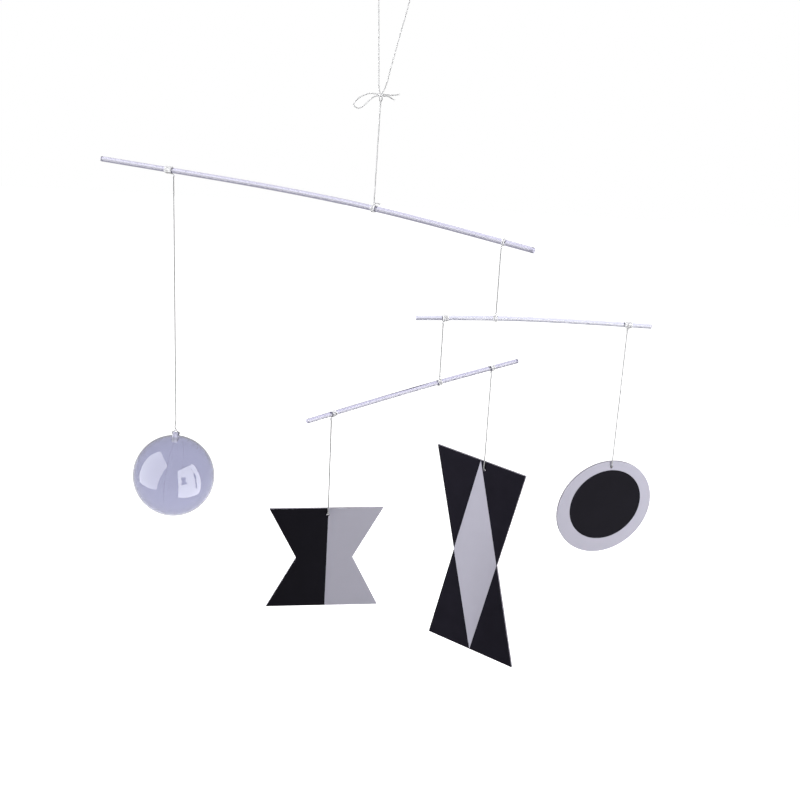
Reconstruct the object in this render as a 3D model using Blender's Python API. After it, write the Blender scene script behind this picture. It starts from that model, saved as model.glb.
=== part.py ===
# Baby mobile: three clear rods hung one below the other on white thread,
# carrying a clear hollow ball and three flat black and white cards.
# Metres, +Z up. The origin is the crown of the thread loop that the mobile hangs by.
# X runs to the right and Y away from someone who faces the cards.

import math

import bmesh
import bpy
from mathutils import Euler, Matrix, Vector
from mathutils.geometry import interpolate_bezier

# Clearances
GAP = 0.0003
HOLE_PLAY = 0.001

# Thread and its knots
THREAD_DIAMETER = 0.001
TURN_PITCH = 0.0012
KNOT_WIDTH = 0.0026
KNOT_HEIGHT = 0.0022
HUB_KNOT_WIDTH = 0.0036
CARD_KNOT_WIDTH = 0.0042
CARD_BEND_RADIUS = 0.002

# Bow and doubled thread above the top rod
BOW_HEIGHT = 0.1017
BOW_SIDE = 0.0019
BOW_KNOT_WIDTH = 0.0044
BOW_KNOT_HEIGHT = 0.0034
STRAND_MERGE = 0.008

# Top rod: yaw turns it about the vertical, and its bend is the radius that it takes at its hub
TOP_ROD_DIAMETER = 0.005
TOP_ROD_LEFT = 0.301
TOP_ROD_RIGHT = 0.156
TOP_ROD_LEFT_TIE = 0.2167
TOP_ROD_RIGHT_TIE = 0.1255
TOP_ROD_YAW = math.radians(-28.2)
TOP_ROD_BEND = 1.800

# Middle rod
MIDDLE_ROD_DIAMETER = 0.004
MIDDLE_ROD_LEFT = 0.069
MIDDLE_ROD_RIGHT = 0.137
MIDDLE_ROD_LEFT_TIE = 0.0453
MIDDLE_ROD_RIGHT_TIE = 0.1165
MIDDLE_ROD_YAW = math.radians(5.1)
MIDDLE_ROD_BEND = 1.150
MIDDLE_ROD_DROP = 0.0702

# Lower rod
LOWER_ROD_DIAMETER = 0.004
LOWER_ROD_LEFT = 0.140
LOWER_ROD_RIGHT = 0.090
LOWER_ROD_LEFT_TIE = 0.1153
LOWER_ROD_RIGHT_TIE = 0.060
LOWER_ROD_YAW = math.radians(38.3)
LOWER_ROD_BEND = 2.860
LOWER_ROD_DROP = 0.061

# Ball of two clear half shells, with a lip inside the seam and an eyelet tab on top.
# Its lean turns it about Y, so that the tab stands to the right of the ball's middle.
BALL_DIAMETER = 0.0822
BALL_WALL = 0.0012
BALL_DROP = 0.3229
BALL_SEAM_YAW = math.radians(-6.0)
BALL_LEAN = math.radians(3.1)
LIP_REACH = 0.0025
LIP_WALL = 0.001
LIP_RUN_OUT = 0.001
TAB_WIDTH = 0.012
TAB_HEAD_WIDTH = 0.009
TAB_HEIGHT = 0.008
TAB_THICKNESS = 0.0027
TAB_HOLE_DIAMETER = 0.0034
TAB_HOLE_DEPTH = 0.0031
EYELET_LOOP_RADIUS = 0.0037
EYELET_LOOP_DEPTH = 0.0037
EYELET_LOOP_RISE = 0.0018
EYELET_KNOT_WIDTH = 0.0036

# Cards: drop is from the rod's axis to the hole, inset from the card's top edge to the hole,
# side from the card's middle to the hole, and swing the card's lean in its own plane
CARD_THICKNESS = 0.002
CARD_EDGE = 0.0002
LONG_CARD_WIDTH = 0.099
LONG_CARD_WAIST = 0.0495
LONG_CARD_HEIGHT = 0.2068
LONG_CARD_DROP = 0.1041
LONG_CARD_INSET = 0.0087
LONG_CARD_SIDE = 0.0044
LONG_CARD_YAW = math.radians(-36.1)
LONG_CARD_SWING = math.radians(0.96)
BOW_TIE_WIDTH = 0.099
BOW_TIE_WAIST = 0.0495
BOW_TIE_HEIGHT = 0.0985
BOW_TIE_DROP = 0.0974
BOW_TIE_INSET = 0.0062
BOW_TIE_SIDE = 0.0013
BOW_TIE_YAW = math.radians(9.5)
BOW_TIE_SWING = math.radians(-1.0)
DISC_DIAMETER = 0.0936
DISC_DROP = 0.1402
DISC_INSET = 0.0058
DISC_SIDE = 0.0029
DISC_YAW = math.radians(20.1)
DISC_SWING = 0.0

# Turns of thread wound on each rod, and how far they lie to one side of their string
TOP_HUB_TURNS = 3
TOP_HUB_SHIFT = 0.0
BALL_TIE_TURNS = 6
BALL_TIE_SHIFT = -0.0050
MIDDLE_TIE_TURNS = 2
MIDDLE_TIE_SHIFT = 0.0022
MIDDLE_HUB_TURNS = 3
MIDDLE_HUB_SHIFT = -0.0002
LOWER_TIE_TURNS = 4
LOWER_TIE_SHIFT = 0.0016
DISC_TIE_TURNS = 5
DISC_TIE_SHIFT = 0.0
LOWER_HUB_TURNS = 3
LOWER_HUB_SHIFT = 0.0
BOW_TIE_TURNS = 3
BOW_TIE_SHIFT = 0.0020
LONG_TIE_TURNS = 3
LONG_TIE_SHIFT = 0.0

# Fineness of the round pieces
ROD_RINGS = 12
ROD_SIDES = 12
TURN_SIDES = 10
KNOT_SIDES = 8
BALL_SIDES = 32
BALL_RINGS = 8
DISC_SIDES = 64
HOLE_SIDES = 12
TAB_SIDES = 8
TAUT_STEP = 0.010
CURVED_STEP = 0.004
EYELET_LOOP_STEPS = 8
CARD_BEND_STEPS = 4
ROUTE_TURN = math.radians(14)

THREAD_RADIUS = THREAD_DIAMETER / 2
BALL_RADIUS = BALL_DIAMETER / 2
STRAND_SIDE = (THREAD_DIAMETER + GAP) / 2

# Routes of the free thread at the bow, from the middle of the bow's knot
LOOP_CROWN = Vector((0.0084, 0, 0.1143))
LOOP_LEFT_LEG = [(-0.0018, 0, 0.006), (-0.0029, 0, 0.025), (-0.0040, 0, 0.050), (-0.0053, 0, 0.080),
                 (-0.0057, 0, 0.0963), (-0.0034, 0, 0.1069), (0.0021, 0, 0.1126)]
LOOP_RIGHT_LEG = [(0.0151, 0, 0.1126), (0.0209, 0, 0.1069), (0.0233, 0, 0.0978), (0.0200, 0, 0.080),
                  (0.0132, 0, 0.050), (0.0075, 0, 0.025), (0.0029, 0, 0.006)]
BOW_LOOP = [(-0.0065, 0.0004, 0.0010), (-0.0105, 0.0010, 0.0006), (-0.0160, 0.0014, -0.0019),
            (-0.0210, 0.0010, -0.0060), (-0.0229, 0, -0.0094), (-0.0198, -0.0012, -0.0120),
            (-0.0155, -0.0014, -0.0106), (-0.0124, -0.0012, -0.0076), (-0.0091, -0.0008, -0.0042),
            (-0.0058, -0.0004, -0.0015)]
UPPER_TAIL = [(0.0055, -0.0004, 0.0007), (0.0085, -0.0008, 0.0006), (0.0113, -0.0010, 0.0008),
              (0.0142, -0.0008, 0.0013)]
LOWER_TAIL = [(0.0048, 0.0006, -0.0008), (0.0069, 0.0010, -0.0014), (0.0087, 0.0014, -0.0025),
              (0.0103, 0.0016, -0.0036)]


# Scene, materials and meshes


def clear_scene():
    for old in list(bpy.data.objects):
        bpy.data.objects.remove(old, do_unlink=True)


def make_material(name, color, roughness, alpha=1.0):
    material = bpy.data.materials.new(name)
    material.use_nodes = True
    shader = material.node_tree.nodes["Principled BSDF"]
    shader.inputs["Base Color"].default_value = (*color, 1.0)
    shader.inputs["Roughness"].default_value = roughness
    shader.inputs["Metallic"].default_value = 0.0
    shader.inputs["Alpha"].default_value = alpha
    return material


def place(name, shape_data, material, location=(0, 0, 0), rotation=(0, 0, 0)):
    thing = bpy.data.objects.new(name, shape_data)
    bpy.context.scene.collection.objects.link(thing)
    shape_data.materials.append(material)
    thing.location = location
    thing.rotation_euler = rotation
    return thing


def finish_mesh(name, shape, smooth_degrees):
    bmesh.ops.remove_doubles(shape, verts=shape.verts, dist=1e-6)
    bmesh.ops.recalc_face_normals(shape, faces=shape.faces)
    mesh_data = bpy.data.meshes.new(name)
    shape.to_mesh(mesh_data)
    shape.free()
    mesh_data.shade_smooth()
    mesh_data.set_sharp_from_angle(angle=math.radians(smooth_degrees))
    return mesh_data


def turned(name, profile, axis, sides, smooth_degrees, closed=False):
    """A solid turned about an axis through the origin from points of its profile."""
    shape = bmesh.new()
    chain = [shape.verts.new(p) for p in profile]
    ends = chain[1:] + chain[:1] if closed else chain[1:]
    edges = [shape.edges.new(pair) for pair in zip(chain, ends)]
    bmesh.ops.spin(shape, geom=chain + edges, cent=(0, 0, 0), axis=axis,
                   angle=2 * math.pi, steps=sides, use_merge=True)
    return finish_mesh(name, shape, smooth_degrees)


def circle(diameter, sides):
    turns = [2 * math.pi * i / sides for i in range(sides)]
    return [(diameter / 2 * math.cos(t), diameter / 2 * math.sin(t)) for t in turns]


def hourglass(width, waist, height):
    return [(-width / 2, height / 2), (width / 2, height / 2), (waist / 2, 0),
            (width / 2, -height / 2), (-width / 2, -height / 2), (-waist / 2, 0)]


def plate(name, outline, thickness):
    """An upright plate from an outline in X and Z, as thick along Y."""
    shape = bmesh.new()
    face = shape.faces.new([shape.verts.new((x, -thickness / 2, z)) for x, z in outline])
    grown = bmesh.ops.extrude_face_region(shape, geom=[face])
    moved = [v for v in grown["geom"] if isinstance(v, bmesh.types.BMVert)]
    bmesh.ops.translate(shape, verts=moved, vec=(0, thickness, 0))
    return finish_mesh(name, shape, 35)


def add_boolean(target, other, operation):
    modifier = target.modifiers.new(other.name, "BOOLEAN")
    modifier.operation = operation
    modifier.solver = "EXACT"
    modifier.object = other
    other.hide_render = True
    other.display_type = "WIRE"


# Thread


def smooth_route(points, longest):
    """Points of a smooth curve through a route, closer together where it bends."""
    route = [Vector(p) for p in points]
    spans = [(q - p).length for p, q in zip(route, route[1:])]
    slopes = [(q - p) / span for p, q, span in zip(route, route[1:], spans)]
    headings = [slopes[0]]
    for before, after, span, next_span in zip(slopes, slopes[1:], spans, spans[1:]):
        headings.append((before * next_span + after * span) / (span + next_span))
    headings.append(slopes[-1])
    fine = []
    for p, q, u, v, span in zip(route, route[1:], headings, headings[1:], spans):
        fine += interpolate_bezier(p, p + u * span / 3, q - v * span / 3, q, 33)[:-1]
    kept = [fine[0]]
    heading = fine[1] - fine[0]
    for here, after in zip(fine[1:], fine[2:]):
        if (after - here).angle(heading) > ROUTE_TURN or (here - kept[-1]).length > longest:
            kept.append(here)
            heading = after - here
    return kept + [route[-1]]


def thread(name, points, material, longest=CURVED_STEP):
    curve = bpy.data.curves.new(name, "CURVE")
    curve.dimensions = "3D"
    curve.bevel_depth = THREAD_RADIUS
    curve.bevel_resolution = 2
    curve.use_fill_caps = True
    route = smooth_route(points, longest)
    spline = curve.splines.new("POLY")
    spline.points.add(len(route) - 1)
    for point, where in zip(spline.points, route):
        point.co = (*where, 1.0)
    return place(name, curve, material)


def knot(name, middle, axis, width, height, material):
    """A knot as a barrel of two turns of thread about an axis."""
    profile = [(0, -0.5), (0.3, -0.5), (0.5, -0.25), (0.42, 0), (0.5, 0.25), (0.3, 0.5), (0, 0.5)]
    barrel = turned(name, [(r * width, 0, z * height) for r, z in profile], (0, 0, 1), KNOT_SIDES, 60)
    turn = Vector((0, 0, 1)).rotation_difference(axis).to_euler()
    return place(name, barrel, material, middle, turn)


# Rods and what is tied to them


def make_rod(hub, diameter, left, right, left_tie, right_tie, yaw, bend):
    return {"hub": hub, "diameter": diameter, "left": left, "right": right, "left_tie": left_tie,
            "right_tie": right_tie, "yaw": yaw, "bend": bend}


def rod_droop(rod, along):
    """Droop of a springy rod that is held at its hub and loaded at its two ties."""
    arm = rod["left_tie"] if along < 0 else rod["right_tie"]
    reach = min(abs(along), arm)
    curved = (reach ** 2 / 2 - reach ** 3 / (6 * arm)) / rod["bend"]
    slope = arm / 2 / rod["bend"]
    return curved + max(0, abs(along) - arm) * slope


def rod_point(rod, along):
    across = Vector((math.cos(rod["yaw"]), math.sin(rod["yaw"]), 0)) * along
    return rod["hub"] + across - Vector((0, 0, rod_droop(rod, along)))


def rod_heading(rod, along):
    step = 1e-4
    return (rod_point(rod, along + step) - rod_point(rod, along - step)).normalized()


def build_rod(name, rod, material):
    curve = bpy.data.curves.new(name, "CURVE")
    curve.dimensions = "3D"
    curve.bevel_depth = rod["diameter"] / 2
    curve.bevel_resolution = (ROD_SIDES - 4) // 2
    curve.use_fill_caps = True
    spline = curve.splines.new("POLY")
    spline.points.add(ROD_RINGS)
    for i, point in enumerate(spline.points):
        along = -rod["left"] + (rod["left"] + rod["right"]) * i / ROD_RINGS
        point.co = (*rod_point(rod, along), 1.0)
    return place(name, curve, material)


def build_winding(name, rod, along, turns, material):
    """Close turns of thread round a rod, as one ring with a groove between turns."""
    inner = rod["diameter"] / 2 + GAP
    groove = inner + THREAD_DIAMETER * 0.55
    outer = inner + THREAD_DIAMETER
    start = -turns * TURN_PITCH / 2
    profile = [(start, 0, inner), (start, 0, groove)]
    for k in range(turns):
        middle = start + (k + 0.5) * TURN_PITCH
        profile.append((middle - TURN_PITCH * 0.28, 0, outer))
        profile.append((middle + TURN_PITCH * 0.28, 0, outer))
        profile.append((middle + TURN_PITCH / 2, 0, groove))
    profile.append((-start, 0, inner))
    ring = turned(name, profile, (1, 0, 0), TURN_SIDES, 50, closed=True)
    turn = Vector((1, 0, 0)).rotation_difference(rod_heading(rod, along)).to_euler()
    return place(name, ring, material, rod_point(rod, along), turn)


def tie(name, rod, along, turns, shift, side, width, material):
    """Winds a thread on a rod and knots it on the side where the thread leaves, 1 above or -1 below.

    Gives the point just clear of the knot where that thread ends.
    """
    build_winding(name + "_winding", rod, along + shift, turns, material)
    away = Vector((0, 0, side))
    face = rod_point(rod, along) + away * (rod["diameter"] / 2 + THREAD_DIAMETER + 2 * GAP)
    knot(name + "_knot", face + away * KNOT_HEIGHT / 2, away, width, KNOT_HEIGHT, material)
    return face + away * (KNOT_HEIGHT + GAP)


# Bow, hanging loop and doubled thread


def build_bow(middle, material):
    """The bow's knot lies along X, with its loop to the left and its two tails to the right."""
    knot("bow_knot", middle, Vector((1, 0, 0)), BOW_KNOT_HEIGHT, BOW_KNOT_WIDTH, material)
    side = BOW_KNOT_WIDTH / 2 + GAP
    upper = Vector((0, 0, STRAND_SIDE))
    left = Vector((-side, 0, 0))
    right = Vector((side, 0, 0))
    loop = [left + upper] + [Vector(p) for p in BOW_LOOP] + [left - upper]
    thread("bow_loop", [middle + p for p in loop], material)
    thread("bow_tail_upper", [middle + p for p in [right + upper] + [Vector(p) for p in UPPER_TAIL]],
           material)
    thread("bow_tail_lower", [middle + p for p in [right - upper] + [Vector(p) for p in LOWER_TAIL]],
           material)


def build_hanging_loop(middle, material):
    shoulder = Vector((BOW_KNOT_WIDTH / 4, 0, BOW_KNOT_HEIGHT / 2 + GAP))
    start = Vector((-shoulder.x, 0, shoulder.z))
    legs = [start] + [Vector(p) for p in LOOP_LEFT_LEG] + [LOOP_CROWN]
    legs += [Vector(p) for p in LOOP_RIGHT_LEG] + [shoulder]
    thread("hanging_loop", [middle + p for p in legs], material, TAUT_STEP)


def build_main_thread(middle, top_rod, material):
    """Two strands, one behind the other, from the bow's knot down to the top rod's hub."""
    landing = tie("top_hub", top_rod, 0, TOP_HUB_TURNS, TOP_HUB_SHIFT, 1, HUB_KNOT_WIDTH, material)
    for name, side in (("main_thread_left", -1), ("main_thread_right", 1)):
        foot = Vector((BOW_KNOT_WIDTH / 4, STRAND_SIDE * 0.8, 0)) * side
        start = middle + foot - Vector((0, 0, BOW_KNOT_HEIGHT / 2 + GAP))
        beside = Vector((0, side * STRAND_SIDE, 0))
        joined = middle.lerp(landing, STRAND_MERGE / BOW_HEIGHT) + beside
        end = landing + beside
        thread(name, [start, joined, joined.lerp(end, 0.1), end], material, TAUT_STEP)
    across = rod_heading(top_rod, 0)
    root = landing - Vector((0, 0, GAP + KNOT_HEIGHT / 2)) + across * (HUB_KNOT_WIDTH / 2 + GAP)
    tail = [root, root + across * 0.0018 + Vector((0, 0, 0.0003)), root + across * 0.0042]
    thread("main_thread_tail", tail, material)


# Ball


def sphere_height(radius, along):
    return math.sqrt(radius ** 2 - along ** 2)


def arc_profile(radius, start, end):
    """Points round the ball's middle, from one angle off the seam's axis to another."""
    steps = [start + (end - start) * i / BALL_RINGS for i in range(BALL_RINGS + 1)]
    return [(radius * math.cos(a), 0, radius * math.sin(a)) for a in steps]


def left_half_profile():
    inner = BALL_RADIUS - BALL_WALL
    lip_outer = inner - GAP
    lip_inner = lip_outer - LIP_WALL
    seam = -GAP / 2
    run_out = -LIP_REACH - LIP_RUN_OUT
    profile = arc_profile(BALL_RADIUS, math.pi, math.acos(seam / BALL_RADIUS))
    profile.append((seam, 0, sphere_height(lip_outer, seam)))
    profile.append((LIP_REACH, 0, sphere_height(lip_outer, LIP_REACH)))
    profile.append((LIP_REACH, 0, sphere_height(lip_inner, LIP_REACH)))
    profile.append((-LIP_REACH, 0, sphere_height(lip_inner, LIP_REACH)))
    return profile + arc_profile(inner, math.acos(run_out / inner), math.pi)


def right_half_profile():
    inner = BALL_RADIUS - BALL_WALL
    seam = GAP / 2
    outside = arc_profile(BALL_RADIUS, 0, math.acos(seam / BALL_RADIUS))
    return outside + arc_profile(inner, math.acos(seam / inner), 0)


def tab_outline():
    """The eyelet tab, from inside the ball's wall to a round head."""
    root = BALL_RADIUS - BALL_WALL * 0.67
    head = TAB_HEAD_WIDTH / 2
    middle = BALL_RADIUS + TAB_HEIGHT - head
    outline = [(-TAB_WIDTH / 2, root)]
    for i in range(TAB_SIDES + 1):
        angle = math.pi * (1 - i / TAB_SIDES)
        outline.append((head * math.cos(angle), middle + head * math.sin(angle)))
    outline.append((TAB_WIDTH / 2, root))
    return outline


def build_ball_half(name, profile, side, center, lean, material):
    """A half shell turned about the seam's axis, with its half of the eyelet tab."""
    turn = lean @ Matrix.Rotation(BALL_SEAM_YAW, 3, "Z")
    half_mesh = turned(name, profile, (1, 0, 0), BALL_SIDES, 40)
    half = place(name, half_mesh, material, center, turn.to_euler())
    tab_turn = (turn @ Matrix.Rotation(math.pi / 2, 3, "Z")).to_euler()
    tab_place = center + turn @ Vector((side * (TAB_THICKNESS + GAP) / 2, 0, 0))
    tab = place(name + "_tab", plate(name + "_tab", tab_outline(), TAB_THICKNESS), material,
                tab_place, tab_turn)
    add_boolean(half, tab, "UNION")
    hole_mesh = plate(name + "_eyelet", circle(TAB_HOLE_DIAMETER, HOLE_SIDES), TAB_THICKNESS * 2)
    raised = turn @ Vector((0, 0, BALL_RADIUS + TAB_HEIGHT - TAB_HOLE_DEPTH))
    eyelet = place(name + "_eyelet", hole_mesh, material, tab_place + raised, tab_turn)
    add_boolean(half, eyelet, "DIFFERENCE")
    return half


def build_ball(top_rod, plastic, white_thread):
    """The ball leans as one with its eyelet loop and knot, below a string that hangs plumb."""
    along = -TOP_ROD_LEFT_TIE
    string_top = tie("ball_string", top_rod, along, BALL_TIE_TURNS, BALL_TIE_SHIFT, -1, KNOT_WIDTH,
                     white_thread)
    lean = Matrix.Rotation(BALL_LEAN, 3, "Y")
    up = lean @ Vector((0, 0, 1))
    reach = BALL_RADIUS + TAB_HEIGHT + EYELET_LOOP_RISE + KNOT_HEIGHT + GAP
    center = rod_point(top_rod, along) - Vector((reach * up.x, 0, BALL_DROP))
    build_ball_half("ball_left_half", left_half_profile(), -1, center, lean, plastic)
    build_ball_half("ball_right_half", right_half_profile(), 1, center, lean, plastic)

    across = lean @ Vector((math.cos(BALL_SEAM_YAW), math.sin(BALL_SEAM_YAW), 0))
    tab_top = center + up * (BALL_RADIUS + TAB_HEIGHT)
    knot_foot = EYELET_LOOP_RISE
    middle = tab_top + up * (knot_foot + KNOT_HEIGHT / 2)
    knot("ball_eyelet_knot", middle, up, EYELET_KNOT_WIDTH, KNOT_HEIGHT, white_thread)
    under_knot = knot_foot - GAP - THREAD_RADIUS
    right_leg = [(STRAND_SIDE, under_knot), (EYELET_LOOP_RADIUS * 0.6, under_knot * 0.9),
                 (EYELET_LOOP_RADIUS * 0.93, knot_foot * 0.32)]
    bottom = []
    for i in range(EYELET_LOOP_STEPS + 1):
        angle = -math.pi * i / EYELET_LOOP_STEPS
        bottom.append((EYELET_LOOP_RADIUS * math.cos(angle), EYELET_LOOP_DEPTH * math.sin(angle)))
    left_leg = [(-x, z) for x, z in reversed(right_leg)]
    loop = [tab_top + across * x + up * z for x, z in right_leg + bottom + left_leg]
    thread("ball_eyelet_loop", loop, white_thread)
    string_foot = center + up * reach
    thread("ball_string", [string_top, string_foot], white_thread, TAUT_STEP)



# Cards


def build_card(name, outline, yaw, swing, hole_place, rod, along, drop, wound, board, white_thread):
    """A card on its string, which runs down its front, in at a hole and is knotted behind."""
    string_top = tie(name + "_string", rod, along, *wound, -1, KNOT_WIDTH, white_thread)
    back = Vector((-math.sin(yaw), math.cos(yaw), 0))
    turn_in = rod_point(rod, along) - Vector((0, 0, drop))
    hole = turn_in + back * (THREAD_RADIUS + GAP + CARD_THICKNESS / 2)
    turn = Euler((0, -swing, yaw))
    middle = hole - turn.to_matrix() @ Vector((hole_place[0], 0, hole_place[1]))
    card = place(name, plate(name, outline, CARD_THICKNESS), board, middle, turn)
    bevel = card.modifiers.new("edge", "BEVEL")
    bevel.width = CARD_EDGE
    bevel.segments = 1
    bevel.limit_method = "ANGLE"
    bevel.angle_limit = math.radians(60)
    hole_outline = circle(THREAD_DIAMETER + 2 * HOLE_PLAY, HOLE_SIDES)
    cutter_mesh = plate(name + "_hole", hole_outline, CARD_THICKNESS * 3)
    add_boolean(card, place(name + "_hole", cutter_mesh, board, hole, turn), "DIFFERENCE")
    card.modifiers.new("flat_faces", "WEIGHTED_NORMAL").keep_sharp = True

    route = [string_top, turn_in + Vector((0, 0, CARD_BEND_RADIUS * 3))]
    for i in range(CARD_BEND_STEPS + 1):
        angle = math.pi / 2 * i / CARD_BEND_STEPS
        inward = CARD_BEND_RADIUS * (1 - math.cos(angle))
        above = CARD_BEND_RADIUS * (1 - math.sin(angle))
        route.append(turn_in + back * inward + Vector((0, 0, above)))
    route.append(hole + back * CARD_THICKNESS / 2)
    thread(name + "_string", route, white_thread, TAUT_STEP)
    behind = hole + back * (CARD_THICKNESS / 2 + GAP + KNOT_HEIGHT / 2)
    knot(name + "_end_knot", behind, back, CARD_KNOT_WIDTH, KNOT_HEIGHT, white_thread)


# The whole mobile


def hang_rod(name, upper_rod, along, drop, rod_sizes, ties, white_thread):
    """Hangs one rod from another on a string that is tied to both, and gives the lower rod."""
    rod = make_rod(rod_point(upper_rod, along) - Vector((0, 0, drop)), *rod_sizes)
    (top_turns, top_shift), (hub_turns, hub_shift) = ties
    start = tie(name + "_string", upper_rod, along, top_turns, top_shift, -1, KNOT_WIDTH, white_thread)
    end = tie(name + "_hub", rod, 0, hub_turns, hub_shift, 1, KNOT_WIDTH, white_thread)
    thread(name + "_string", [start, end], white_thread, TAUT_STEP)
    return rod


def main():
    clear_scene()
    white_thread = make_material("white_thread", (0.82, 0.82, 0.83), 0.8)
    clear_rod = make_material("clear_rod", (0.80, 0.80, 0.88), 0.08, 0.5)
    clear_shell = make_material("clear_shell", (0.78, 0.78, 0.86), 0.05, 0.35)
    board = make_material("black_board", (0.015, 0.014, 0.018), 0.5)

    bow_middle = -LOOP_CROWN
    hub = bow_middle - Vector((BOW_SIDE, 0, BOW_HEIGHT))
    top_rod = make_rod(hub, TOP_ROD_DIAMETER, TOP_ROD_LEFT, TOP_ROD_RIGHT, TOP_ROD_LEFT_TIE,
                       TOP_ROD_RIGHT_TIE, TOP_ROD_YAW, TOP_ROD_BEND)
    build_rod("top_rod", top_rod, clear_rod)
    build_hanging_loop(bow_middle, white_thread)
    build_bow(bow_middle, white_thread)
    build_main_thread(bow_middle, top_rod, white_thread)
    build_ball(top_rod, clear_shell, white_thread)

    middle_sizes = (MIDDLE_ROD_DIAMETER, MIDDLE_ROD_LEFT, MIDDLE_ROD_RIGHT, MIDDLE_ROD_LEFT_TIE,
                    MIDDLE_ROD_RIGHT_TIE, MIDDLE_ROD_YAW, MIDDLE_ROD_BEND)
    middle_ties = ((MIDDLE_TIE_TURNS, MIDDLE_TIE_SHIFT), (MIDDLE_HUB_TURNS, MIDDLE_HUB_SHIFT))
    middle_rod = hang_rod("middle_rod", top_rod, TOP_ROD_RIGHT_TIE, MIDDLE_ROD_DROP, middle_sizes,
                          middle_ties, white_thread)
    build_rod("middle_rod", middle_rod, clear_rod)

    lower_sizes = (LOWER_ROD_DIAMETER, LOWER_ROD_LEFT, LOWER_ROD_RIGHT, LOWER_ROD_LEFT_TIE,
                   LOWER_ROD_RIGHT_TIE, LOWER_ROD_YAW, LOWER_ROD_BEND)
    lower_ties = ((LOWER_TIE_TURNS, LOWER_TIE_SHIFT), (LOWER_HUB_TURNS, LOWER_HUB_SHIFT))
    lower_rod = hang_rod("lower_rod", middle_rod, -MIDDLE_ROD_LEFT_TIE, LOWER_ROD_DROP, lower_sizes,
                         lower_ties, white_thread)
    build_rod("lower_rod", lower_rod, clear_rod)

    disc_hole = (DISC_SIDE, DISC_DIAMETER / 2 - DISC_INSET)
    build_card("disc_card", circle(DISC_DIAMETER, DISC_SIDES), DISC_YAW, DISC_SWING, disc_hole,
               middle_rod, MIDDLE_ROD_RIGHT_TIE, DISC_DROP, (DISC_TIE_TURNS, DISC_TIE_SHIFT),
               board, white_thread)
    long_hole = (LONG_CARD_SIDE, LONG_CARD_HEIGHT / 2 - LONG_CARD_INSET)
    build_card("long_card", hourglass(LONG_CARD_WIDTH, LONG_CARD_WAIST, LONG_CARD_HEIGHT),
               LONG_CARD_YAW, LONG_CARD_SWING, long_hole, lower_rod, LOWER_ROD_RIGHT_TIE,
               LONG_CARD_DROP, (LONG_TIE_TURNS, LONG_TIE_SHIFT), board, white_thread)
    bow_tie_hole = (BOW_TIE_SIDE, BOW_TIE_HEIGHT / 2 - BOW_TIE_INSET)
    build_card("bow_tie_card", hourglass(BOW_TIE_WIDTH, BOW_TIE_WAIST, BOW_TIE_HEIGHT),
               BOW_TIE_YAW, BOW_TIE_SWING, bow_tie_hole, lower_rod, -LOWER_ROD_LEFT_TIE,
               BOW_TIE_DROP, (BOW_TIE_TURNS, BOW_TIE_SHIFT), board, white_thread)


main()
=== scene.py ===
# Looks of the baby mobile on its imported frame: camera and light, thread, rods, ball and cards.
# Metres. X runs right and Y away from whoever faces the cards; the origin is the loop's crown.
import math

import bpy
from mathutils import Euler, Matrix, Vector
from mathutils.geometry import interpolate_bezier


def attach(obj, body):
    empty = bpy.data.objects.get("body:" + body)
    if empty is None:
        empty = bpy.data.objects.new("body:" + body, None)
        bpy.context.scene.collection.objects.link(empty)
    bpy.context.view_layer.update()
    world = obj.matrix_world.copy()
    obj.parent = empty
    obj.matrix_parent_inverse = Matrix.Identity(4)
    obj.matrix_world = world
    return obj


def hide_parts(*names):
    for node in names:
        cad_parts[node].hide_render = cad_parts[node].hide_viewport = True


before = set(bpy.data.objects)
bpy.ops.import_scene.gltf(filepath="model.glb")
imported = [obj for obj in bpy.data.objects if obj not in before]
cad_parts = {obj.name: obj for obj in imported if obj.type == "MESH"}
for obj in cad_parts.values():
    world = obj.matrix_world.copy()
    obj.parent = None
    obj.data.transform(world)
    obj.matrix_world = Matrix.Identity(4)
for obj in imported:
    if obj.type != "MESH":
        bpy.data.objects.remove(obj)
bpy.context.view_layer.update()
down = Vector((0, 0, -1))


# Camera at the photograph's angle

camera = {
    "place": (0.0215126, -1.4030132, 0.2702566),
    "right": (0.99859, 0.02292, 0.04794),
    "down": (0.05314, -0.43066, -0.90095),
    "lens": 75.735,
}


def addCamera():
    lens = bpy.data.cameras.new("camera")
    lens.lens = camera["lens"]
    lens.sensor_width = 36
    lens.clip_end = 60
    right = Vector(camera["right"]).normalized()
    up = -Vector(camera["down"])
    up = (up - right * up.dot(right)).normalized()
    back = right.cross(up)
    stand = bpy.data.objects.new("camera", lens)
    bpy.context.scene.collection.objects.link(stand)
    turn = Matrix((right, up, back)).transposed().to_4x4()
    stand.matrix_world = Matrix.Translation(camera["place"]) @ turn
    bpy.context.scene.camera = stand
    print("camera placed")


# Materials

tones = {
    # the thread and the next tone are one white cotton: painted shade on single thread, painted light on
    # wound turns and knots
    "thread": (0.235, 0.235, 0.24),
    "threadPaintedLit": (0.74, 0.74, 0.75),
    # the sawn end, shell and tab tints are painted light: lilac that stands in for the dim room seen
    # through clear plastic
    "sawnEnd": (0.50, 0.49, 0.62),
    "shell": (0.535, 0.54, 0.645),
    "tab": (0.62, 0.62, 0.76),
    "cardWhite": (0.46, 0.45, 0.53),
    "cardBlack": (0.0088, 0.0080, 0.0125),
    "cardCore": (0.20, 0.19, 0.22),
    "floor": (0.62, 0.62, 0.62),
}


def newMaterial(name):
    finish = bpy.data.materials.new(name)
    finish.use_nodes = True
    tree = finish.node_tree
    return finish, tree.nodes, tree.links, tree.nodes["Principled BSDF"]


def addNoise(nodes, links, source, scale, detail=3.0, rough=0.55):
    noise = nodes.new("ShaderNodeTexNoise")
    noise.inputs["Scale"].default_value = scale
    noise.inputs["Detail"].default_value = detail
    noise.inputs["Roughness"].default_value = rough
    links.new(source, noise.inputs["Vector"])
    return noise.outputs["Fac"]


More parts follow.
